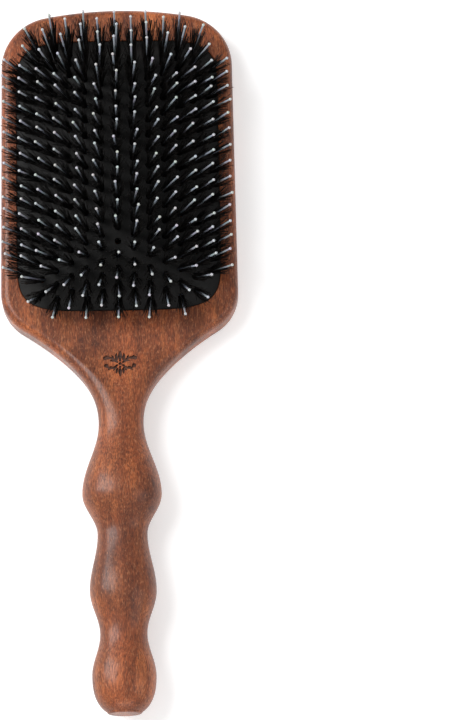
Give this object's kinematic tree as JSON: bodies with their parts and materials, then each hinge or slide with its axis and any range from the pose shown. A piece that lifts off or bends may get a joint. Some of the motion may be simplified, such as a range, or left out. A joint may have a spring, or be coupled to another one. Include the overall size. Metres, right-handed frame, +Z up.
{
  "type": "paddle hairbrush",
  "caption": "Rectangular wooden paddle hairbrush with a wavy handle, a sprung domed rubber cushion, and bristle tufts round ball-tipped nylon pins.",
  "frame": {"origin": "middle of the brush's length and width, on the flat back that it lies on", "axes": "+Z up out of the bristles, +Y along the brush towards the top of the head, X across the head"},
  "size_m": [0.083, 0.254, 0.0386],
  "materials": {
    "wood": "satin lacquer over a reddish-brown stain",
    "rubber": "matt black",
    "cloth": "plain woven backing",
    "nylon": "translucent grey with a pale ball tip",
    "bristle": "black natural bristle"
  },
  "bodies": {
    "brush_body": {"wooden_body": "wood", "rubber_cushion": "rubber", "backing_cloth": "cloth"},
    "zone1": {"pins_zone1": "nylon", "lead_pins_zone1": "nylon", "tufts_zone1_left": "bristle", "tufts_zone1_right": "bristle"},
    "zone2": {"pins_zone2": "nylon", "lead_pins_zone2": "nylon", "tufts_zone2_left": "bristle", "tufts_zone2_right": "bristle"},
    "zone3": {"pins_zone3": "nylon", "lead_pins_zone3": "nylon", "tufts_zone3_left": "bristle", "tufts_zone3_right": "bristle"},
    "zone4": {"pins_zone4": "nylon", "lead_pins_zone4": "nylon", "tufts_zone4_left": "bristle", "tufts_zone4_right": "bristle"},
    "zone5": {"pins_zone5": "nylon", "lead_pins_zone5": "nylon", "tufts_zone5_left": "bristle", "tufts_zone5_right": "bristle"}
  },
  "joints": [
    {"name": "press_zone1", "type": "slide", "parent": "brush_body", "child": "zone1", "axis": [0, 0, -1], "range_m": [0, 0.004], "stiffness_N_per_m": 1500, "deforming": ["rubber_cushion", "backing_cloth"]},
    {"name": "press_zone2", "type": "slide", "parent": "brush_body", "child": "zone2", "axis": [0, 0, -1], "range_m": [0, 0.00371]},
    {"name": "press_zone3", "type": "slide", "parent": "brush_body", "child": "zone3", "axis": [0, 0, -1], "range_m": [0, 0.00313]},
    {"name": "press_zone4", "type": "slide", "parent": "brush_body", "child": "zone4", "axis": [0, 0, -1], "range_m": [0, 0.00225]},
    {"name": "press_zone5", "type": "slide", "parent": "brush_body", "child": "zone5", "axis": [0, 0, -1], "range_m": [0, 0.00109]}
  ],
  "couplings": [
    {"joint": "press_zone2", "follows": "press_zone1", "ratio": 0.927},
    {"joint": "press_zone3", "follows": "press_zone1", "ratio": 0.781},
    {"joint": "press_zone4", "follows": "press_zone1", "ratio": 0.563},
    {"joint": "press_zone5", "follows": "press_zone1", "ratio": 0.271}
  ]
}
